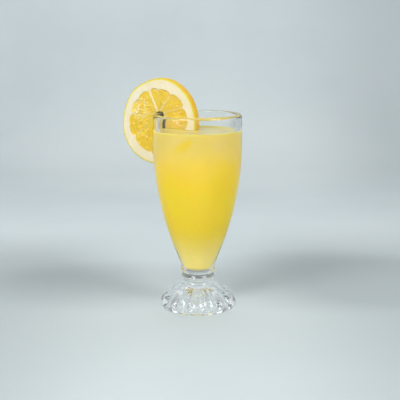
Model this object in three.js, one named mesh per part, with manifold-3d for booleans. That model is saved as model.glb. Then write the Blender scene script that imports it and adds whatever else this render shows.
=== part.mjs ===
// A clear pressed soda glass on a scalloped foot, filled with cloudy lemon juice,
// with a thick lemon wheel slit to its core and hung on the rim.
// Millimetres, +Z up, the front towards -Y. The origin is on the table, at the middle of the whole object's box.
import * as THREE from "three";
import { mergeVertices } from "three/addons/utils/BufferGeometryUtils.js";
import Module from "manifold-3d";

// Sizes of the glass
const GLASS_HEIGHT = 175;
const RIM_RADIUS = 39.3; // outside, just under the rounded lip
const RIM_WALL = 4.8;
const LIP_HEIGHT = 2.6; // height of the rounding over the lip
const NECK_RADIUS = 14; // at the bottom of the groove round the neck
const FOOT_RADIUS = 34.5;
const BASE_RADIUS = 33.1; // outer edge of the flat ring that stands on the table
const HOLLOW_RADIUS = 29.3; // mouth of the hollow under the foot
const HOLLOW_HEIGHT = 13.5; // flat top of the hollow
const CAVITY_BOTTOM = 33.8; // inside of the bowl, at the axis

// The foot's pattern: ridges that run up from every second lobe
const LOBES = 16;
const RIDGES = 8;
const GAP_TURN = 9.1; // degrees from the front to the first gap between two lobes
const GAP_DEPTH = 2.2;
const GAP_SHARPNESS = 0.7; // under 1 makes round lobes with narrow gaps

// Sizes of the drink and the lemon wheel
const JUICE_LEVEL = 159.3;
const WHEEL_RADIUS = 38.6;
const WHEEL_THICKNESS = 8;
const WHEEL_EDGE = 0.7; // rounding where the rind meets the cut faces
const WHEEL_HEIGHT = 166.5; // centre of the wheel above the table
const WHEEL_OUT = 38.3; // centre of the wheel from the glass's axis
const WHEEL_TURN = 28.2; // degrees that the wheel's plane turns from the left towards the back
const WHEEL_UNEVEN = [[2, -1.9, 1], [3, 1.1, 0.25], [5, 0.4, 0.28], [7, 2.2, 0.18]]; // waves, phase, mm
const SLIT_OUT = 40; // the slit's sides, from the glass's axis
const SLIT_IN_TOP = 33.8;
const SLIT_IN_BOTTOM = 33;
const SLIT_ARCH = 1.4; // height of the arch at the slit's top, over the lip
const CLEARANCE = 0.3; // between pieces that touch

const SEGMENTS = LOBES * 4;
const BOWL_STEPS = 13;
const WHEEL_STEPS = 60;
const radians = THREE.MathUtils.degToRad;

const wasm = await Module();
wasm.setup();

// A closed geometry as a solid that can be cut
function solidOf(geometry) {
  const bare = geometry.clone();
  bare.deleteAttribute("normal");
  bare.deleteAttribute("uv");
  const merged = mergeVertices(bare, 1e-3);
  return new wasm.Manifold(
    new wasm.Mesh({
      numProp: 3,
      vertProperties: merged.attributes.position.array,
      triVerts: new Uint32Array(merged.index.array),
    }),
  );
}

// A solid back as a geometry
function geometryOf(solid) {
  const mesh = solid.getMesh();
  const geometry = new THREE.BufferGeometry();
  geometry.setAttribute("position", new THREE.BufferAttribute(mesh.vertProperties, 3));
  geometry.setIndex(new THREE.BufferAttribute(mesh.triVerts, 1));
  geometry.computeVertexNormals();
  return geometry;
}

// A smooth curve through [radius, height] pairs, as count steps
function curveThrough(pairs, count) {
  return new THREE.SplineCurve(pairs.map((pair) => new THREE.Vector2(...pair))).getPoints(count);
}

// A profile turned about the Z axis, its angles counted from the front towards the right
function turned(profile) {
  return new THREE.LatheGeometry(profile, SEGMENTS, radians(GAP_TURN)).rotateX(Math.PI / 2);
}

// The outside of the foot and of the groove round the neck, from the table up to the bowl
const FOOT_OUTSIDE = [
  [BASE_RADIUS, 0],
  [FOOT_RADIUS - 0.3, 1.2],
  [FOOT_RADIUS, 3.6],
  [FOOT_RADIUS - 0.5, 6.2],
  [32.7, 9],
  [30.6, 11.6],
  [27.6, 13.9],
  [24, 15.8],
  [20.4, 17.6],
  [17.2, 19.7],
  [15.1, 22.1],
  [NECK_RADIUS + 0.2, 24.4],
  [NECK_RADIUS + 0.2, 26.4],
  [NECK_RADIUS + 1, 27.2],
  [NECK_RADIUS + 1.3, 27.9],
  [NECK_RADIUS + 1, 28.9],
  [NECK_RADIUS + 0.3, 30.1],
  [NECK_RADIUS, 31],
  [NECK_RADIUS + 0.3, 32],
  [NECK_RADIUS + 1, 33.2],
  [NECK_RADIUS + 1.3, 34.2],
];

// The outside of the bowl, from the neck up to the lip
const BOWL_OUTSIDE = [
  [NECK_RADIUS + 1.5, 35.2],
  [15.9, 39],
  [17.9, 45.5],
  [23.8, 60.5],
  [29.7, 79],
  [34.2, 97.5],
  [37.4, 116],
  [39.2, 134],
  [RIM_RADIUS + 0.3, 152],
  [RIM_RADIUS, GLASS_HEIGHT - LIP_HEIGHT],
];

// The inside of the bowl, from the lip down to the rounded bottom of the cavity
const BOWL_INSIDE = [
  [RIM_RADIUS - RIM_WALL, GLASS_HEIGHT - LIP_HEIGHT],
  [34.4, 150],
  [33.9, 134],
  [32.2, 116],
  [28.6, 97.5],
  [23.4, 79],
  [17.2, 64],
  [12.4, 53],
  [9.4, 42],
  [8.1, 37.2],
];

// The hollow under the foot, from its flat top down to the ring that stands on the table
const HOLLOW = [
  [0, HOLLOW_HEIGHT],
  [6.9, HOLLOW_HEIGHT],
  [8, 12.8],
  [14, 10.6],
  [19, 8.6],
  [23, 6.2],
  [26.5, 3],
  [28.7, 0.6],
  [HOLLOW_RADIUS, 0],
];

// The rounded bottom of the cavity, a quarter of an ellipse that ends on the axis
function cavityBottom(inset) {
  const [edgeRadius, edgeHeight] = BOWL_INSIDE.at(-1);
  const across = edgeRadius - inset;
  const down = edgeHeight - CAVITY_BOTTOM - inset;
  return [25, 50, 72, 90].map((turn) =>
    new THREE.Vector2(
      turn === 90 ? 0 : across * Math.cos(radians(turn)),
      edgeHeight - down * Math.sin(radians(turn)),
    ));
}

// The half round over the lip, without its two ends
function lip() {
  const middle = RIM_RADIUS - RIM_WALL / 2;
  return [30, 60, 90, 120, 150].map((turn) =>
    new THREE.Vector2(
      middle + (RIM_WALL / 2) * Math.cos(radians(turn)),
      GLASS_HEIGHT - LIP_HEIGHT + LIP_HEIGHT * Math.sin(radians(turn)),
    ));
}

// How far the foot's lobes and ridges stand out at a height: none at the table's edge and none at the neck
function footPattern(height) {
  const rise = THREE.MathUtils.smoothstep(height, 2.6, 6.4);
  const lobes = rise * (1 - THREE.MathUtils.smoothstep(height, 12.5, 19.5));
  const ridges = THREE.MathUtils.smoothstep(height, 9, 16) * (1 - THREE.MathUtils.smoothstep(height, 19, 24));
  return { lobes, ridges };
}

// The glass: hollow foot, neck, bowl and lip in one closed surface
function glassGeometry() {
  const hollow = HOLLOW.map((pair) => new THREE.Vector2(...pair));
  const foot = FOOT_OUTSIDE.map((pair) => new THREE.Vector2(...pair));
  const geometry = turned([
    ...hollow,
    ...foot,
    ...curveThrough(BOWL_OUTSIDE, BOWL_STEPS),
    ...lip(),
    ...curveThrough(BOWL_INSIDE, BOWL_STEPS - 1),
    ...cavityBottom(0),
  ]);

  // The foot's outside swells into its ridges and draws in at the gaps between its lobes
  const position = geometry.attributes.position;
  const perRow = position.count / (SEGMENTS + 1);
  const firstFootRow = hollow.length;
  const lastFootRow = firstFootRow + foot.length;
  for (let i = 0; i < position.count; i++) {
    const row = i % perRow;
    if (row < firstFootRow || row >= lastFootRow) continue;
    const x = position.getX(i);
    const y = position.getY(i);
    const radius = Math.hypot(x, y);
    const turn = Math.atan2(x, -y) - radians(GAP_TURN);
    const { lobes, ridges } = footPattern(position.getZ(i));
    const lobeCurve = Math.abs(Math.sin((turn * LOBES) / 2)) ** GAP_SHARPNESS;
    const fromFacet = (((turn * RIDGES) / (2 * Math.PI) + 100.75) % 1 - 0.5) * ((2 * Math.PI) / RIDGES);
    const ridgeGrowth = 1 / Math.cos(fromFacet) - 1;
    const grown = radius * (1 + ridges * ridgeGrowth) - lobes * GAP_DEPTH * (1 - lobeCurve);
    position.setX(i, (x * grown) / radius);
    position.setY(i, (y * grown) / radius);
  }
  return geometry;
}

// The wheel's rim at an angle from its right-hand side, a little uneven as a real lemon is
function wheelRim(angle, grow) {
  const uneven = WHEEL_UNEVEN.reduce((sum, [waves, phase, size]) => sum + size * Math.cos(waves * angle + phase), 0);
  return WHEEL_RADIUS + uneven + grow;
}

// A disc of the wheel's outline in the XY plane, centred on its core's place, with or without the slit
function wheelGeometry(withSlit, grow) {
  const left = withSlit ? WHEEL_OUT - SLIT_OUT - WHEEL_EDGE : 0;
  const right = withSlit ? WHEEL_OUT - SLIT_IN_BOTTOM + WHEEL_EDGE : 0;
  const start = -Math.PI / 2 + Math.asin(right / WHEEL_RADIUS);
  const end = (3 * Math.PI) / 2 + Math.asin(left / WHEEL_RADIUS);
  const outline = [];
  for (let i = 0; i < WHEEL_STEPS + (withSlit ? 1 : 0); i++) {
    const angle = start + ((end - start) * i) / WHEEL_STEPS;
    const radius = wheelRim(angle, grow - WHEEL_EDGE);
    outline.push(new THREE.Vector2(radius * Math.cos(angle), radius * Math.sin(angle)));
  }
  if (withSlit) {
    const half = (SLIT_OUT - SLIT_IN_TOP) / 2 + WHEEL_EDGE;
    const middle = WHEEL_OUT - (SLIT_OUT + SLIT_IN_TOP) / 2;
    const top = GLASS_HEIGHT + CLEARANCE + WHEEL_EDGE - WHEEL_HEIGHT;
    for (const turn of [180, 135, 90, 45, 0]) {
      outline.push(new THREE.Vector2(
        middle + half * Math.cos(radians(turn)),
        top - SLIT_ARCH * (1 - Math.sin(radians(turn))),
      ));
    }
  }
  const depth = WHEEL_THICKNESS + 2 * grow - 2 * WHEEL_EDGE;
  return new THREE.ExtrudeGeometry(new THREE.Shape(outline), {
    depth,
    steps: 1,
    bevelThickness: WHEEL_EDGE,
    bevelSize: WHEEL_EDGE,
    bevelSegments: 2,
  }).translate(0, 0, -depth / 2);
}

// Stands a disc up and takes it to the wheel's place on the rim
const wheelPlace = new THREE.Matrix4()
  .makeRotationZ(-radians(WHEEL_TURN))
  .multiply(new THREE.Matrix4().makeTranslation(-WHEEL_OUT, 0, WHEEL_HEIGHT))
  .multiply(new THREE.Matrix4().makeRotationX(Math.PI / 2));

// The drink: the inside of the bowl up to its level, cut round the part of the wheel that hangs in it
function juiceGeometry() {
  const inset = curveThrough(BOWL_INSIDE, BOWL_STEPS - 1)
    .filter((point) => point.y < JUICE_LEVEL - 1)
    .map((point) => new THREE.Vector2(point.x - CLEARANCE, point.y));
  const profile = [
    ...cavityBottom(CLEARANCE).reverse(),
    ...inset.reverse(),
    new THREE.Vector2(inset.at(-1).x, JUICE_LEVEL),
    new THREE.Vector2(0, JUICE_LEVEL),
  ];
  const cutter = wheelGeometry(false, CLEARANCE).applyMatrix4(wheelPlace);
  return geometryOf(solidOf(turned(profile)).subtract(solidOf(cutter)));
}

const clearGlass = new THREE.MeshStandardMaterial({
  color: 0xe9eff0,
  roughness: 0.04,
  metalness: 0,
  transparent: true,
  opacity: 0.35,
});
const cloudyJuice = new THREE.MeshStandardMaterial({ color: 0xead04a, roughness: 0.25, metalness: 0 });
const lemonFlesh = new THREE.MeshStandardMaterial({ color: 0xe8cd5a, roughness: 0.45, metalness: 0 });

function mesh(name, geometry, material) {
  const made = new THREE.Mesh(geometry, material);
  made.name = name;
  return made;
}

const wheel = mesh("lemon_wheel", wheelGeometry(true, 0), lemonFlesh);
wheelPlace.decompose(wheel.position, wheel.quaternion, wheel.scale);

// All of it about the glass's axis
const aboutAxis = new THREE.Group();
aboutAxis.add(
  mesh("glass", glassGeometry(), clearGlass),
  mesh("lemon_juice", juiceGeometry(), cloudyJuice),
  wheel,
);

// The wheel hangs out to the left, so the middle of the box lies to the left of the glass's axis
const box = new THREE.Box3().setFromObject(aboutAxis, true);
aboutAxis.position.x = -(box.min.x + box.max.x) / 2;

const group = new THREE.Group();
group.add(aboutAxis);

export default group;
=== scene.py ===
"""A clear footed soda glass of cloudy lemon juice, with a thick lemon wheel slit to its core and hung on
the rim.

Shapes, and the places of what is painted on them, are worked out in millimetres about the glass's own
axis. They are put into the frame in metres."""
from typing import NamedTuple
import bpy
import numpy as np
from mathutils import Matrix, Vector


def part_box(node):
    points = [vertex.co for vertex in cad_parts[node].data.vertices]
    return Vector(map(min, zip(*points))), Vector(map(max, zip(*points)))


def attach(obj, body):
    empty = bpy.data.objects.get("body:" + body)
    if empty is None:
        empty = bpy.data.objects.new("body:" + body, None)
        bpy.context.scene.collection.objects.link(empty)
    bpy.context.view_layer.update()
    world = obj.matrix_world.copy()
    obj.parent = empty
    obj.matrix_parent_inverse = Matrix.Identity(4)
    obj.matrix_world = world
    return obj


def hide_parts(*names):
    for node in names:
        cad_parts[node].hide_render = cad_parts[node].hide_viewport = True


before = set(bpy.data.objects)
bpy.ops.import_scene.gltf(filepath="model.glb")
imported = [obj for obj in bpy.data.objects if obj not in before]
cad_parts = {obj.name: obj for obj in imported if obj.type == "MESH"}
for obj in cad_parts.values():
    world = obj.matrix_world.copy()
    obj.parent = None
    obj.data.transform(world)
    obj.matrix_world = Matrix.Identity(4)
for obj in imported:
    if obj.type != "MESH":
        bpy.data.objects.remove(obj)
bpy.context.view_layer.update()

glass_low, glass_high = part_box("glass")
AXIS_X = (glass_low.x + glass_high.x) / 2  # metres, where the glass's axis stands in the frame
MM = 0.001

# Sizes of the glass
GLASS_HEIGHT = 175.0
RIM_RADIUS = 39.3
RIM_WALL = 4.8
LIP_HEIGHT = 2.6
NECK_RADIUS = 14.0
FOOT_RADIUS = 34.5
BASE_RADIUS = 33.1
HOLLOW_RADIUS = 29.3
HOLLOW_HEIGHT = 13.5
CAVITY_BOTTOM = 33.8

# The foot's pattern
LOBES = 16
RIDGES = 8
GAP_TURN = np.radians(9.1)  # from the front to the first gap between two lobes
GAP_DEPTH = 2.2
GAP_SHARPNESS = 0.7
GAP_ON_SIDE = 0.75  # how far across a flat side the first gap lies, as a share of the side

# The drink
JUICE_LEVEL = 159.3
JUICE_INTO_WALL = 0.08
MENISCUS_RISE = 1.3
MENISCUS_REACH = 1.5

# The lemon wheel. Places in its own plane are (to the right, up) from its centre
WHEEL_RADIUS = 38.55
WHEEL_THICKNESS = 8.0
WHEEL_HEIGHT = 166.5
WHEEL_OUT = 38.3
WHEEL_TURN = np.radians(28.2)
WHEEL_UNEVEN = ((2, -1.9, 1.0), (3, 1.1, 0.25), (5, 0.4, 0.28), (7, 2.2, 0.18))  # waves, phase, size
EDGE_ROUND = 0.9
SLIT_TOP = np.array([1.4, 8.9])
SLIT_HALF = 3.2
SLIT_ARCH = 2.2
SLIT_REACH = 13.0
SLIT_HAIR = 0.001  # how far each side of the slit starts from its middle
CORE = np.array([0.7, 7.3])  # where the membranes meet
FLESH_RADIUS = 30.3
SKIN = 1.5  # thickness of the yellow outer skin on the cut faces
MEMBRANES = np.radians([14, 55, 90, 116, 149, 182, 221, 259, 298, 336])
PALE = np.array([0.2, 0.35, 0.15, 1.0, 0.1, 0.2, 0.15, 0.25, 0.25, 0.2])  # how clearly each membrane shows
BACK_SHIFT = 0.6  # how much lower the back face's relief lies than the front's

FOOT_OUTSIDE = (
    (BASE_RADIUS, 0), (FOOT_RADIUS - 0.3, 1.2), (FOOT_RADIUS, 3.6), (FOOT_RADIUS - 0.5, 6.2),
    (32.7, 9), (30.6, 11.6), (27.6, 13.9), (24, 15.8), (20.4, 17.6), (17.2, 19.7), (15.1, 22.1),
    (NECK_RADIUS + 0.2, 24.4), (NECK_RADIUS + 0.2, 26.4), (NECK_RADIUS + 1, 27.2),
    (NECK_RADIUS + 1.3, 27.9), (NECK_RADIUS + 1, 28.9), (NECK_RADIUS + 0.3, 30.1),
    (NECK_RADIUS, 31), (NECK_RADIUS + 0.3, 32), (NECK_RADIUS + 1, 33.2), (NECK_RADIUS + 1.3, 34.2),
)
BOWL_OUTSIDE = (
    (NECK_RADIUS + 1.5, 35.2), (15.9, 39), (17.9, 45.5), (23.8, 60.5), (29.7, 79), (34.2, 97.5),
    (37.4, 116), (39.2, 134), (RIM_RADIUS + 0.22, 152), (RIM_RADIUS, GLASS_HEIGHT - LIP_HEIGHT),
)
BOWL_INSIDE = (
    (RIM_RADIUS - RIM_WALL, GLASS_HEIGHT - LIP_HEIGHT), (34.4, 150), (33.9, 134), (32.2, 116),
    (28.6, 97.5), (23.4, 79), (17.2, 64), (12.4, 53), (9.4, 42), (8.1, 37.2),
)
HOLLOW = (
    (0, HOLLOW_HEIGHT), (4, HOLLOW_HEIGHT), (6.6, HOLLOW_HEIGHT), (8, 12.8), (14, 10.6), (19, 8.6),
    (23, 6.2), (26.5, 3), (28.7, 0.6), (HOLLOW_RADIUS, 0),
)

# Where the paint on the glass, the drink and the wheel lies
GROOVE_SHADE_FROM = (28.7, 29.4)  # heights where the painted shade in the neck's groove starts, and where it is full
GROOVE_SHADE_TO = (32.2, 31.5)  # heights where it ends, and where it is still full
PALE_TOP = (114, 160)  # heights between which the drink pales towards its surface
PALE_BOTTOM = (78, 38)  # the same towards its narrow bottom
DULL_BOTTOM = (38.5, 34.5)  # heights between which it dulls at the very bottom
STREAK_PLACE = (-12.5, 149.5)  # to the right of the axis, and up
STREAK_HALF = (13.0, 4.8)  # half its length and half its width
STREAK_RISE = np.radians(38.5)  # how steeply it rises to the right
# Painted highlights on the pulp: where pale lines stand in for wet glints
GLINT_PLACE = (-57.3, 177.5)  # along the wheel's plane from the glass's axis, and up
GLINT_REACH_SQUARED = (140, 30)  # square millimetres, where the painted glints on the pulp end and where they are full


# Curves, grids and meshes

def smoothstep(low, high, x):
    """0 up to low, 1 past high, and 3t² - 2t³ between them, with t the share of the way. low may be
    the larger of the two."""
    t = np.clip((x - low) / (high - low), 0, 1)
    return t * t * (3 - 2 * t)


def spline(points, steps):
    """A curve through the points: between two of them, the cubic whose slope at each point is half the
    way from the point before it to the point after it."""
    p = np.asarray(points, float)
    p = np.vstack([p[:1], p, p[-1:]])
    at = np.linspace(0, len(points) - 1, steps + 1)
    i = np.minimum(at.astype(int), len(points) - 2)
    t = (at - i)[:, None]
    a, b, c, d = p[i], p[i + 1], p[i + 2], p[i + 3]
    return 0.5 * (2 * b + (c - a) * t + (2 * a - 5 * b + 4 * c - d) * t**2 + (3 * b - a - 3 * c + d) * t**3)


def arc(centre, across, up, start, end, steps):
    """Part of an ellipse: centre + (across cos a, up sin a) for a from start to end degrees."""
    a = np.radians(np.linspace(start, end, steps + 1))
    return np.stack([centre[0] + across * np.cos(a), centre[1] + up * np.sin(a)], 1)


def smooth_noise(x, y, size, seed):
    """Values from -1 to 1: random numbers on a square lattice of the given size, joined by smooth steps."""
    corners = 97
    start = 4000  # lattice squares, so that no place falls below the lattice
    lattice = np.random.default_rng(seed).uniform(-1, 1, (corners, corners))
    u, v = x / size + start, y / size + start
    i, j = np.floor(u).astype(int), np.floor(v).astype(int)
    s, t = u - i, v - j
    s, t = s * s * (3 - 2 * s), t * t * (3 - 2 * t)
    i, j, k, m = i % corners, j % corners, (i + 1) % corners, (j + 1) % corners
    low = lattice[i, j] * (1 - s) + lattice[k, j] * s
    high = lattice[i, m] * (1 - s) + lattice[k, m] * s
    return low * (1 - t) + high * t


def grid_quads(rows, columns, first):
    """Corner indices of the squares of a rows by columns grid whose vertices start at index first."""
    i, j = np.meshgrid(np.arange(rows - 1), np.arange(columns - 1), indexing="ij")
    at = (first + i * columns + j).ravel()
    return np.stack([at, at + 1, at + columns + 1, at + columns], 1)


def mesh_of_grids(name, grids, extras=()):
    """One closed mesh from grids of points. Points that meet become one vertex, and squares that lose a
    corner become triangles. extras is (attribute name, its values for each grid) pairs."""
    points = np.concatenate([g.reshape(-1, 3) for g in grids])
    quads, first = [], 0
    for g in grids:
        quads.append(grid_quads(g.shape[0], g.shape[1], first))
        first += g.shape[0] * g.shape[1]
    quads = np.concatenate(quads)
    _, kept, group = np.unique(np.round(points, 4), axis=0, return_index=True, return_inverse=True)
    quads = group.reshape(-1)[quads]
    fresh = quads != np.roll(quads, 1, axis=1)  # corners that differ from the one before them
    whole = fresh.all(1)
    faces = [q[f] for q, f in zip(quads[~whole], fresh[~whole])]
    faces = [f.tolist() for f in faces if len(f) > 2] + quads[whole].tolist()
    mesh = bpy.data.meshes.new(name)
    place = points[kept] * MM + np.array([AXIS_X, 0, 0])
    mesh.from_pydata(place.tolist(), [], faces)
    for title, values in extras:
        values = np.concatenate([v.reshape(g.shape[0] * g.shape[1], -1) for v, g in zip(values, grids)])
        values = values[kept].astype(np.float32)
        kind, field = ("FLOAT_VECTOR", "vector") if values.shape[1] == 3 else ("FLOAT", "value")
        mesh.attributes.new(title, kind, "POINT").data.foreach_set(field, values.ravel())
    mesh.polygons.foreach_set("use_smooth", np.ones(len(mesh.polygons), bool))
    mesh.update()
    mesh.validate()
    made = bpy.data.objects.new(name, mesh)
    bpy.context.scene.collection.objects.link(made)
    return made


def turned(profile, columns):
    """A profile of (radius, height) points turned about the axis: x = r sin a, y = -r cos a, with a
    from the front towards the right, starting in the foot's first gap. Rows are profile points."""
    a = GAP_TURN + np.linspace(0, 2 * np.pi, columns + 1)
    radius, height = profile[:, :1], profile[:, 1:]
    return np.stack([radius * np.sin(a), -radius * np.cos(a), height + 0 * a], 2)


# The glass and the drink

def cavity_bottom(inset, steps):
    """The rounded bottom of the bowl's inside: a quarter of an ellipse down to the axis."""
    edge_radius, edge_height = BOWL_INSIDE[-1]
    down = edge_height - CAVITY_BOTTOM - inset
    quarter = arc((0, edge_height), edge_radius - inset, -down, 0, 90, steps)
    quarter[-1, 0] = 0
    return quarter[1:]


def foot_swell(grid):
    """Moves the foot's outside: out along eight flat-sided ridges, radius times (1 / cos a - 1) with a
    the angle from the middle of a side, and in by the gap depth times (1 - |sin 8a| to a power) between
    the lobes. Both fade towards the table and the neck."""
    x, y, z = grid[..., 0], grid[..., 1], grid[..., 2]
    radius = np.hypot(x, y)
    turn = np.arctan2(x, -y) - GAP_TURN
    lobes = smoothstep(2.6, 6.4, z) * smoothstep(19.5, 12.5, z)
    ridges = smoothstep(9, 16, z) * smoothstep(24, 19, z)
    lobe_curve = np.abs(np.sin(turn * LOBES / 2)) ** GAP_SHARPNESS
    from_side = ((turn * RIDGES / (2 * np.pi) + GAP_ON_SIDE) % 1 - 0.5) * 2 * np.pi / RIDGES
    grown = radius * (1 + ridges * (1 / np.cos(from_side) - 1)) - lobes * GAP_DEPTH * (1 - lobe_curve)
    share = (grown / np.maximum(radius, 1e-6))[..., None]
    return np.concatenate([grid[..., :2] * share, grid[..., 2:]], 2)


def make_glass():
    """Hollow foot, neck, bowl and lip as one closed turned surface, with the foot's pattern."""
    lip_base = GLASS_HEIGHT - LIP_HEIGHT
    hollow = spline(HOLLOW, 40)
    ring = np.linspace(hollow[-1], (BASE_RADIUS, 0), 6)[1:-1]
    outside = spline(FOOT_OUTSIDE + BOWL_OUTSIDE, 176)[:-1]
    lip = arc((RIM_RADIUS - RIM_WALL / 2, lip_base), RIM_WALL / 2, LIP_HEIGHT, 0, 180, 16)[:-1]
    inside = spline(BOWL_INSIDE, 50)
    grid = turned(np.concatenate([hollow, ring, outside, lip, inside, cavity_bottom(0, 14)]), 320)
    start = len(hollow) + len(ring)
    end = start + len(outside)
    grid[start:end] = foot_swell(grid[start:end])
    return mesh_of_grids("soda_glass", [grid])


def to_wheel(x, y):
    """Along and across the wheel's plane, from a place seen from above: the plane holds the glass's axis."""
    along = x * np.cos(WHEEL_TURN) - y * np.sin(WHEEL_TURN)
    across = x * np.sin(WHEEL_TURN) + y * np.cos(WHEEL_TURN)
    return along, across


def make_juice():
    """The drink up to its level. Its skin reaches just into the wall. Its top climbs the wall and the
    wheel as rise times e to the minus distance over reach."""
    inside = spline(BOWL_INSIDE, 100)
    side = inside[inside[:, 1] < JUICE_LEVEL][::-1]
    level_radius = np.interp(JUICE_LEVEL, side[:, 1], side[:, 0])
    side = side + np.array([JUICE_INTO_WALL, 0])
    bottom = cavity_bottom(-JUICE_INTO_WALL, 14)[::-1]
    edge = level_radius + JUICE_INTO_WALL
    climb = np.array([[edge, JUICE_LEVEL + MENISCUS_RISE * share] for share in (0.3, 0.7, 1)])
    closer_at_wall = 1.6
    top_radius = edge - np.linspace(0, 1, 71)[1:] ** closer_at_wall * edge
    top_climb = MENISCUS_RISE * np.exp((top_radius - edge) / MENISCUS_REACH)
    top = np.stack([top_radius, JUICE_LEVEL + top_climb], 1)
    grid = turned(np.concatenate([bottom, side, climb, top]), 256)
    surface = grid[-len(top):]
    along, across = to_wheel(surface[..., 0], surface[..., 1])
    past_end = np.maximum(along + WHEEL_OUT - WHEEL_RADIUS, 0)
    beside = np.maximum(np.abs(across) - WHEEL_THICKNESS / 2, 0)
    climbed = MENISCUS_RISE * np.exp(-np.hypot(past_end, beside) / MENISCUS_REACH)
    surface[..., 2] = np.maximum(surface[..., 2], JUICE_LEVEL + climbed)
    return mesh_of_grids("cloudy_juice", [grid])


# The lemon wheel

class CutFace(NamedTuple):
    """What the wheel's cut face shows at each point of a grid."""
    flesh: np.ndarray  # share of flesh
    membrane: np.ndarray  # share of membrane
    depth: np.ndarray  # below the cut
    from_rim: np.ndarray  # in from the rim
    reach: np.ndarray  # from the core
    angle: np.ndarray  # about the core, from its right-hand side
    segment: np.ndarray  # number of the segment


def wheel_rim(angle):
    """The wheel's uneven radius at an angle from its right-hand side."""
    return WHEEL_RADIUS + sum(size * np.cos(waves * angle + phase) for waves, phase, size in WHEEL_UNEVEN)


def nearest_membrane(angle):
    """Angle from the nearest membrane, how clearly that one shows, and the number of the segment that
    the angle lies in."""
    away = np.abs((angle[..., None] - MEMBRANES + np.pi) % (2 * np.pi) - np.pi)
    segment = np.searchsorted(MEMBRANES, angle % (2 * np.pi)) % len(MEMBRANES)
    return away.min(-1), PALE[away.argmin(-1)], segment


def wheel_pattern(x, y):
    """The cut face at places in the wheel's plane. Membranes run out from the core. The flesh between
    them ends at its own radius, less where it meets a membrane. The flesh lies deepest, then the
    membranes, then the pith, each by an amount that noise varies."""
    reach = np.hypot(x - CORE[0], y - CORE[1])
    angle = np.arctan2(y - CORE[1], x - CORE[0])
    centre_reach = np.hypot(x, y)
    from_rim = wheel_rim(np.arctan2(y, x)) - centre_reach
    nearest, pale, segment = nearest_membrane(angle)
    beside_membrane = nearest * reach
    wander = 0.5 * smooth_noise(x, y, 3.5, 3) + 0.25 * smooth_noise(x, y, 1.2, 4)

    corner = 2.6 * np.exp(-beside_membrane / 2.2)
    flesh_edge = FLESH_RADIUS - corner + 0.35 * np.sin(segment * 2.4) + wander * 0.8
    inside_flesh = smoothstep(0.5, -0.5, centre_reach - flesh_edge)
    membrane_half = 0.2 + 0.6 * pale + 0.4 * np.exp(-reach / 5) + 0.15 * smooth_noise(x, y, 2.5, 9)
    ridge = smoothstep(membrane_half + 0.7, membrane_half - 0.2, beside_membrane)
    ridge = ridge * np.clip(pale * 1.1 + 0.25 * smooth_noise(x, y, 5, 10), 0, 1)
    flesh = inside_flesh * (1 - ridge)
    membrane = inside_flesh * np.maximum(ridge, smoothstep(2.2, 1.0, reach))

    pulp = 0.6 * smooth_noise(reach / 3.2, angle * 9 + segment * 3.1, 1.0, 5)
    pulp = pulp + 0.4 * smooth_noise(reach / 1.5, angle * 17, 1.0, 6)
    depth = flesh * (0.42 + 0.3 * pulp) + membrane * (0.22 + 0.1 * wander)
    depth += (1 - inside_flesh) * (0.07 + 0.07 * smooth_noise(x, y, 1.6, 7))
    return CutFace(flesh, membrane, np.maximum(depth, 0), from_rim, reach, angle, segment)


def open_slit(x, y):
    """Pushes the flesh aside where the wheel sits over the wall: sideways by the slit's half width,
    fading out with the distance from the slit, and closing over the arch at its top."""
    beside = x - SLIT_TOP[0]
    below = np.maximum(SLIT_TOP[1] - y, 0)
    push = SLIT_HALF * np.minimum(1, np.sqrt(below / SLIT_ARCH)) * smoothstep(SLIT_REACH, 0, np.abs(beside))
    return x + push * np.where(beside >= 0, 1, -1), y


def slit_shade(x, y):
    """Painted shade along the slit: how dark a cut face is painted beside the slit's inner side, and over
    the fold above the lip.
    """
    beside, up = x - SLIT_TOP[0], y - SLIT_TOP[1]
    edge = smoothstep(0, 0.02, beside) * smoothstep(1.9, 1.2, beside) * smoothstep(-18, -17, up) * (up < 0.3)
    fold = smoothstep(-1.6, -1, up) * smoothstep(0.7, 0.3, up) * smoothstep(2.2, 1.6, np.abs(beside - 0.6))
    return np.maximum(edge, fold)


def place_wheel(x, y, across):
    """From the wheel's plane to millimetres about the glass's axis."""
    along = x - WHEEL_OUT
    return np.stack([
        along * np.cos(WHEEL_TURN) + across * np.sin(WHEEL_TURN),
        -along * np.sin(WHEEL_TURN) + across * np.cos(WHEEL_TURN),
        y + WHEEL_HEIGHT,
    ], -1)


def rim_reach(direction):
    """How far the uneven rim lies from the slit's top along each direction: where the ray meets a circle
    of the rim's radius there, worked out again until that radius settles."""
    ahead = direction @ SLIT_TOP
    reach = np.full(len(direction), WHEEL_RADIUS)
    for _ in range(12):
        point = SLIT_TOP + reach[:, None] * direction
        rim = wheel_rim(np.arctan2(point[:, 1], point[:, 0]))
        reach = -ahead + np.sqrt(ahead**2 - SLIT_TOP @ SLIT_TOP + rim**2)
    return reach


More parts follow.
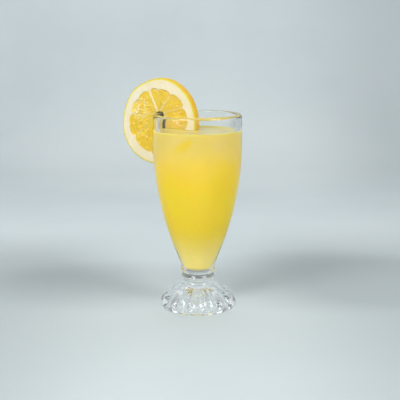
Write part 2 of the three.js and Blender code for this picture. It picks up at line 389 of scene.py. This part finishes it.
def make_wheel():
    """The lemon wheel on a grid of rays from the slit's top: two cut faces, the rind between them and
    the two sides of the slit. Both faces sink where the flesh and the membranes lie."""
    rays, rings, slices = 430, 74, 14
    half = WHEEL_THICKNESS / 2
    a = -np.pi / 2 + np.linspace(0, 2 * np.pi, rays + 1)
    direction = np.stack([np.cos(a), np.sin(a)], 1)
    hair = np.where(np.arange(rays + 1) * 2 < rays, SLIT_HAIR, -SLIT_HAIR)
    reach = rim_reach(direction)
    share = np.linspace(0, 1, rings + 1)[:, None]
    flat = SLIT_TOP + (share * (reach - EDGE_ROUND))[..., None] * direction
    x, y = flat[..., 0] + hair * (share > 0), flat[..., 1]
    cut = wheel_pattern(x, y)
    to_edge = smoothstep(0, 1.2, cut.from_rim - EDGE_ROUND)
    opened = open_slit(x, y)
    front = place_wheel(*opened, -(half - cut.depth * to_edge))
    back = place_wheel(*opened, half - wheel_pattern(x, y + BACK_SHIFT).depth * to_edge)

    # The rind is full between its two rounded edges
    q = np.linspace(-1, 1, slices + 1)[:, None]
    rim_flat = SLIT_TOP + (reach - EDGE_ROUND * np.abs(q) ** 6)[..., None] * direction
    rim_x, rim_y = rim_flat[..., 0] + hair, rim_flat[..., 1]
    rind = place_wheel(*open_slit(rim_x, rim_y), q * half)

    # The slit's sides run straight through from face to face, on the first ray and on the last
    across = np.linspace(0, 1, slices + 1)[:, None, None]
    walls, wall_places = [], []
    for column, order in ((0, slice(None)), (rays, slice(None, None, -1))):
        wall = front[None, :, column] * (1 - across) + back[None, :, column] * across
        wall[:, -1] = rind[:, column]
        walls.append(wall[:, order])
        wall_places.append([np.repeat(flat[None, order, column], slices + 1, 0) for flat in (x, y)])

    parts, pulp, shade = [], [], []
    for xs, ys in [(x, y), (x[:, ::-1], y[:, ::-1]), (rim_x, rim_y), *wall_places]:
        cut = wheel_pattern(xs, ys)
        parts.append(np.stack([cut.flesh, cut.membrane, cut.from_rim], -1))
        pulp.append(np.stack([cut.reach, cut.angle, cut.segment / len(MEMBRANES)], -1))
        shade.append(slit_shade(xs, ys))
    # The slit's side walls get full painted shade
    for wall_shade in shade[-len(walls):]:
        wall_shade[1:-1] = 1
    grids = [front, back[:, ::-1], rind, *walls]
    return mesh_of_grids("lemon_slice", grids, (("parts", parts), ("pulp", pulp), ("slit", shade)))


# Shader maths

class Value:
    """A number socket that takes part in Python expressions. Each operation adds one Math node."""

    def __init__(self, finish, socket):
        self.finish, self.socket = finish, socket

    def math(self, operation, *values):
        return self.finish.node("ShaderNodeMath", {"operation": operation}, dict(enumerate(values))).value(0)

    def __add__(self, other):
        return self.math("ADD", self, other)

    def __sub__(self, other):
        return self.math("SUBTRACT", self, other)

    def __mul__(self, other):
        return self.math("MULTIPLY", self, other)

    def __pow__(self, other):
        return self.math("POWER", self, other)

    def __rsub__(self, other):
        return self.math("SUBTRACT", other, self)

    __radd__, __rmul__ = __add__, __mul__

    def __abs__(self):
        return self.math("ABSOLUTE", self)

    def between(self, low, high):
        """0 at low, 1 at high, smooth between them."""
        return self.finish.node(
            "ShaderNodeMapRange", {"interpolation_type": "SMOOTHSTEP"},
            {"Value": self, "From Min": low, "From Max": high},
        ).value("Result")


class Made:
    """A node that has been added, with its outputs to hand."""

    def __init__(self, finish, node):
        self.finish, self.node = finish, node

    def out(self, name):
        return self.node.outputs[name]

    def value(self, name):
        return Value(self.finish, self.node.outputs[name])


class Finish:
    """A material, or the sky, under construction."""

    def __init__(self, made):
        made.use_nodes = True
        self.made, self.tree = made, made.node_tree
        self.tree.nodes.clear()

    def node(self, kind, settings=None, inputs=None):
        """Adds a node of any kind: its settings first, then its sockets' values or links."""
        node = self.tree.nodes.new(kind)
        for key, setting in (settings or {}).items():
            setattr(node, key, setting)
        for key, given in (inputs or {}).items():
            socket = node.inputs[key]
            if isinstance(given, Value):
                given = given.socket
            if isinstance(given, bpy.types.NodeSocket):
                self.tree.links.new(given, socket)
            else:
                socket.default_value = given
        return Made(self, node)

    def object_place(self):
        return self.node("ShaderNodeTexCoord").out("Object")

    def axes_of(self, vector):
        parts = self.node("ShaderNodeSeparateXYZ", inputs={0: vector})
        return parts.value("X"), parts.value("Y"), parts.value("Z")

    def glass_place(self):
        """Millimetres to the right of the glass's axis, behind it, and up from the table."""
        x, y, z = self.axes_of(self.object_place())
        return (x - AXIS_X) * (1 / MM), y * (1 / MM), z * (1 / MM)

    def attribute(self, name):
        return self.node("ShaderNodeAttribute", {"attribute_name": name})

    def noise(self, vector, scale, detail=3.0):
        inputs = {"Vector": vector, "Scale": scale, "Detail": detail, "Roughness": 0.55}
        return self.node("ShaderNodeTexNoise", inputs=inputs).value("Fac")

    def cells(self, feature, vector, scale):
        return self.node("ShaderNodeTexVoronoi", {"feature": feature}, {"Vector": vector, "Scale": scale})

    def mix(self, share, first, second):
        """first where share is 0, second where it is 1."""
        inputs = {"Factor": share, 6: first, 7: second}
        return self.node("ShaderNodeMix", {"data_type": "RGBA"}, inputs).out(2)

    def mix_shaders(self, share, first, second):
        return self.node("ShaderNodeMixShader", inputs={0: share, 1: first, 2: second}).out(0)

    def bump(self, height, strength):
        return self.node(
            "ShaderNodeBump", inputs={"Height": height, "Strength": strength, "Distance": 0.0006},
        ).out("Normal")

    def output(self, **inputs):
        """Ends the material with its output node."""
        self.node("ShaderNodeOutputMaterial", inputs=inputs)
        return self.made


def colour(red, green, blue):
    """A colour as seen on a screen, 0 to 255, as the linear values that shaders take."""
    shown = np.array([red, green, blue]) / 255
    linear = np.where(shown <= 0.04045, shown / 12.92, ((shown + 0.055) / 1.055) ** 2.4)
    return (*linear.tolist(), 1.0)


# Finishes

def clear_glass():
    """Pressed soda glass: clear, fire-polished, with the faint ripple that a mould leaves, and a grey tint
    in the groove round the neck that is painted shade. Lamps shine through it on to what it holds."""
    f = Finish(bpy.data.materials.new("pressed clear glass"))
    place = f.object_place()
    height = f.glass_place()[2]
    # Painted shade: a grey tint on the glass in the groove round the neck
    groove = height.between(*GROOVE_SHADE_FROM) * height.between(*GROOVE_SHADE_TO)
    ripple = f.noise(place, 60, 2) * 0.6 + f.noise(place, 190, 1) * 0.4
    glass = f.node("ShaderNodeBsdfPrincipled", inputs={
        "Base Color": f.mix(groove, (0.985, 0.995, 0.99, 1), (0.3, 0.29, 0.26, 1)),
        "Roughness": 0.0, "IOR": 1.5,
        "Transmission Weight": 1.0, "Normal": f.bump(ripple, 0.12),
    }).out(0)
    open_air = f.node("ShaderNodeBsdfTransparent", inputs={"Color": (0.97, 0.98, 0.975, 1)}).out(0)
    path = f.node("ShaderNodeLightPath")
    spread = f.mix_shaders(path.out("Is Diffuse Ray"), glass, open_air)
    return f.output(Surface=f.mix_shaders(path.out("Is Shadow Ray"), spread, open_air))


def lemon_juice():
    """Cloudy juice: light spreads inside it and some passes through. It is deep yellow where it is thick,
    paler under its surface and towards its narrow bottom, and duller at the very bottom. A deeper streak
    shows where the sunk edge of the lemon wheel comes near the wall."""
    f = Finish(bpy.data.materials.new("cloudy lemon juice"))
    x, y, height = f.glass_place()
    cloud = f.noise(f.object_place(), 28)
    upper = (height + (cloud - 0.5) * 30).between(*PALE_TOP)
    lower = (height + (cloud - 0.5) * 10).between(*PALE_BOTTOM)
    aside, up = x - STREAK_PLACE[0], height - STREAK_PLACE[1]
    length = (aside * np.cos(STREAK_RISE) + up * np.sin(STREAK_RISE)) * (1 / STREAK_HALF[0])
    width = (up * np.cos(STREAK_RISE) - aside * np.sin(STREAK_RISE)) * (1 / STREAK_HALF[1])
    streak = (length ** 2 + width ** 2).between(1, 0) * y.between(0, -15)

    tone = f.mix(cloud.between(0.3, 0.7), (0.98, 0.68, 0.004, 1), (0.98, 0.65, 0.006, 1))
    tone = f.mix(upper, tone, (0.77, 0.61, 0.14, 1))
    tone = f.mix(lower * 0.85, tone, (0.97, 0.76, 0.27, 1))
    tone = f.mix(height.between(*DULL_BOTTOM) * 0.5, tone, (0.6, 0.5, 0.24, 1))
    tone = f.mix(streak * 0.9, tone, (0.80, 0.58, 0.0, 1))
    body = f.node("ShaderNodeBsdfPrincipled", {"subsurface_method": "RANDOM_WALK"}, {
        "Base Color": tone, "Roughness": 0.12, "IOR": 1.34, "Transmission Weight": 0.05,
        "Subsurface Weight": 1.0, "Subsurface Radius": (1.0, 0.8, 0.25), "Subsurface Scale": 0.006,
    })
    taken = f.node("ShaderNodeVolumeAbsorption", inputs={"Color": (1.0, 0.965, 0.5, 1), "Density": 40.0})
    return f.output(Surface=body.out(0), Volume=taken.out(0))


def painted_pulp_glints(f, place):
    """Painted highlights on the front face, standing in for wet glints on the pulp: thin wavering pale lines
    between cells, in one patch.
    """
    x, y, height = f.glass_place()
    along, across = to_wheel(x, y)
    patch = ((along - GLINT_PLACE[0]) ** 2 + (height - GLINT_PLACE[1]) ** 2).between(*GLINT_REACH_SQUARED)
    wave = f.node("ShaderNodeTexNoise", inputs={"Vector": place, "Scale": 200.0}).out("Color")
    wavering = f.node(
        "ShaderNodeVectorMath", {"operation": "MULTIPLY_ADD"}, {0: wave, 1: (0.012, 0.012, 0.012), 2: place},
    ).out(0)
    lines = f.cells("DISTANCE_TO_EDGE", wavering, 150.0).value("Distance").between(0.09, 0.03)
    return patch * across.between(1, -1) * lines


def lemon_flesh():
    """Cut lemon: glistening yellow pulp in long sacs, pale membranes, creamy pith, and waxy skin that is
    greenish where it is cut through and golden outside, with painted highlights on one patch of pulp and
    painted shade along the slit."""
    f = Finish(bpy.data.materials.new("cut lemon"))
    place = f.object_place()
    flesh, membrane, from_rim = f.axes_of(f.attribute("parts").out("Vector"))
    pulp_place = f.attribute("pulp").out("Vector")  # reach, angle and segment
    sacs = (0.22, 9.0, 31.0)  # for each millimetre of reach, each radian and each whole round of segments
    stretched = f.node("ShaderNodeVectorMath", {"operation": "MULTIPLY"}, {0: pulp_place, 1: sacs}).out(0)
    cell = f.axes_of(f.cells("F1", stretched, 1.0).out("Color"))[0]
    seam = f.cells("DISTANCE_TO_EDGE", stretched, 1.0).value("Distance").between(0.0, 0.09)
    broad = f.noise(place, 90)

    pulp = f.mix(cell, colour(234, 197, 14), colour(220, 181, 14))
    pulp = f.mix(broad.between(0.4, 0.7) * 0.5, pulp, colour(238, 206, 30))
    pulp = f.mix((1 - seam) * 0.35, pulp, colour(242, 216, 84))
    # Painted highlight: pale glint lines on one patch of pulp
    pulp = f.mix(painted_pulp_glints(f, place) * 0.75, pulp, colour(247, 234, 178))
    pith = f.mix(broad.between(0.3, 0.7), colour(229, 219, 192), colour(225, 214, 178))
    pith = f.mix(from_rim.between(3.0, 1.2) * 0.7, pith, colour(230, 211, 106))
    cut = f.mix(flesh, pith, pulp)
    cut = f.mix(membrane * 0.7, cut, colour(236, 216, 156))
    skin = f.mix(f.noise(place, 160).between(0.35, 0.65), colour(224, 172, 12), colour(222, 184, 20))
    skin_cut = f.mix(from_rim.between(0.15, 0.9), skin, colour(206, 200, 62))
    tone = f.mix(from_rim.between(SKIN - 0.4, SKIN + 0.3), skin_cut, cut)
    # Painted shade: near-black along the slit and on its side walls
    tone = f.mix(f.attribute("slit").value("Fac"), tone, colour(34, 27, 8))

    pores = f.cells("F1", place, 620.0).value("Distance")
    skin_share = from_rim.between(SKIN, SKIN - 0.6)
    relief = flesh * (seam * 0.8 + cell * 0.5) + skin_share * pores * 0.8
    relief = relief + (1 - flesh) * f.noise(place, 900) * 0.35
    wet = flesh * 0.75 + membrane * 0.4
    body = f.node("ShaderNodeBsdfPrincipled", {"subsurface_method": "RANDOM_WALK"}, {
        "Base Color": tone, "Roughness": 0.62 - wet * 0.38 - skin_share * 0.2, "IOR": 1.4,
        "Subsurface Weight": 0.55, "Subsurface Radius": (1.0, 0.75, 0.3), "Subsurface Scale": 0.0022,
        "Coat Weight": wet * 0.6, "Coat Roughness": 0.1, "Normal": f.bump(relief, 0.8),
    })
    return f.output(Surface=body.out(0))


def stage_paint():
    """The pale blue-grey paper that the glass stands on, with painted light and shade: painted shade
    towards the front and its sides and far to the right, two soft patches of painted shadow where the
    glass's shadows fall, a painted pool of light in the middle behind, and white where it is out of the
    picture as painted light for the glass to refract. Places on it are in metres from the glass's axis."""
    f = Finish(bpy.data.materials.new("pale paper"))
    place = f.object_place()
    x, y, z = f.axes_of(place)
    x = x - AXIS_X
    aside = abs(x)

    def patch(across, along, half_across, half_along):
        reach = ((x - across) * (1 / half_across)) ** 2 + ((y - along) * (1 / half_along)) ** 2
        return reach.between(1, 0)

    # Painted shade towards the front, its sides and far to the right, and two patches of painted shadow
    near = y.between(0.34, 0.08)
    painted_shade = near * 0.3 + near * aside.between(0.03, 0.19) * 0.5 + x.between(0.14, 0.4) * 0.4
    painted_shade = painted_shade + patch(0.125, 0.09, 0.17, 0.13) * 0.45 + patch(-0.08, 0.07, 0.17, 0.1) * 0.3
    white = colour(235, 238, 240)
    tone = f.mix(f.noise(place, 5).between(0.3, 0.7), colour(213, 223, 226), colour(207, 218, 221))
    # Painted light: a brighter pool in the middle behind
    tone = f.mix(patch(0.0, 0.85, 0.45, 0.35) * 0.7, tone, colour(229, 238, 240))
    tone = f.mix(painted_shade, tone, colour(167, 177, 180))
    # White out of the picture, at the sides and high up: painted light for the glass to refract
    tone = f.mix(aside.between(0.55, 0.8), tone, white)
    tone = f.mix(z.between(0.35, 0.6), tone, white)
    body = f.node("ShaderNodeBsdfPrincipled", inputs={"Base Color": tone, "Roughness": 0.9})
    return f.output(Surface=body.out(0))


# Camera, stage and light, in metres

PITCH = np.radians(10.89)
ROLL = np.radians(-0.2)
CAMERA_PLACE = Vector((AXIS_X + 0.0020, -0.795, 0.2505))
FOCAL_PIXELS = 901.0
FRAME_PIXELS = 400.0
SENSOR = 36.0
ROOM_DIM = (0.12, 0.12, 0.12, 1)


def add_object(name, data):
    """Puts a new object in the scene."""
    made = bpy.data.objects.new(name, data)
    bpy.context.scene.collection.objects.link(made)
    return made


def make_camera():
    """The camera in front of the glass, looking a little down on it."""
    data = bpy.data.cameras.new("camera")
    data.sensor_width = SENSOR
    data.lens = FOCAL_PIXELS / FRAME_PIXELS * SENSOR
    camera = add_object("camera", data)
    turn = Matrix.Rotation(np.pi / 2 - PITCH, 4, "X") @ Matrix.Rotation(ROLL, 4, "Z")
    camera.matrix_world = Matrix.Translation(CAMERA_PLACE) @ turn
    bpy.context.scene.camera = camera


def make_stage():
    """Paper that lies flat under the glass and sweeps up behind it in a quarter circle."""
    near, far, bend, top, half_width = -2.2, 0.75, 0.55, 2.6, 2.6
    sweep = np.radians(np.linspace(0, 90, 25))
    profile = np.concatenate([
        [[near, 0]],
        np.stack([far + bend * np.sin(sweep), bend * (1 - np.cos(sweep))], 1),
        [[far + bend, top]],
    ])
    points = np.empty((len(profile), 2, 3))
    points[..., 0] = -half_width, half_width
    points[..., 1:] = profile[:, None]
    mesh = bpy.data.meshes.new("paper")
    mesh.from_pydata(points.reshape(-1, 3).tolist(), [], grid_quads(len(profile), 2, 0).tolist())
    mesh.polygons.foreach_set("use_smooth", np.ones(len(mesh.polygons), bool))
    mesh.materials.append(stage_paint())
    add_object("paper", mesh)


def make_sky():
    """A sky that is bright low down, and dim above and in the room behind the camera."""
    f = Finish(bpy.data.worlds.new("studio"))
    _, y, z = f.axes_of(f.node("ShaderNodeTexCoord").out("Generated"))
    tone = f.mix(z.between(0.2, 0.5), (0.93, 0.97, 1.0, 1), ROOM_DIM)
    tone = f.mix(y.between(-0.55, -0.95) * 0.75, tone, ROOM_DIM)
    light = f.node("ShaderNodeBackground", inputs={"Color": tone, "Strength": 0.95})
    f.node("ShaderNodeOutputWorld", inputs={"Surface": light.out(0)})
    bpy.context.scene.world = f.made


def soft_box(name, place, aim, side, watts):
    """A square lamp at a place, turned towards its aim."""
    data = bpy.data.lights.new(name, "AREA")
    data.size = side
    data.energy = watts
    light = add_object(name, data)
    light.location = place
    light.rotation_euler = (Vector(aim) - Vector(place)).to_track_quat("-Z", "Y").to_euler()


def make_light():
    """Large soft boxes left, right and above, and a small low one that glints on the cut lemon."""
    middle = (AXIS_X, 0, 0.1)
    soft_box("left box", (-0.79, -0.98, 0.92), middle, 0.7, 14)
    soft_box("right box", (1.0, -0.78, 0.9), middle, 0.7, 12.5)
    soft_box("top box", (0, 0.3, 1.4), middle, 1.2, 5)
    soft_box("low box", (-1.0, -0.55, 0.3), (AXIS_X, 0, 0.15), 0.25, 1.6)


def dress(piece, node, finish):
    """Gives a piece its finish, puts it under the root body, and hides the solid from model.glb that it
    stands for.
    """
    piece.data.materials.append(finish)
    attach(piece, "root")
    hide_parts(node)


make_camera()
make_stage()
make_sky()
make_light()
dress(make_glass(), "glass", clear_glass())
dress(make_juice(), "lemon_juice", lemon_juice())
dress(make_wheel(), "lemon_wheel", lemon_flesh())
bpy.context.scene.view_settings.view_transform = "Standard"
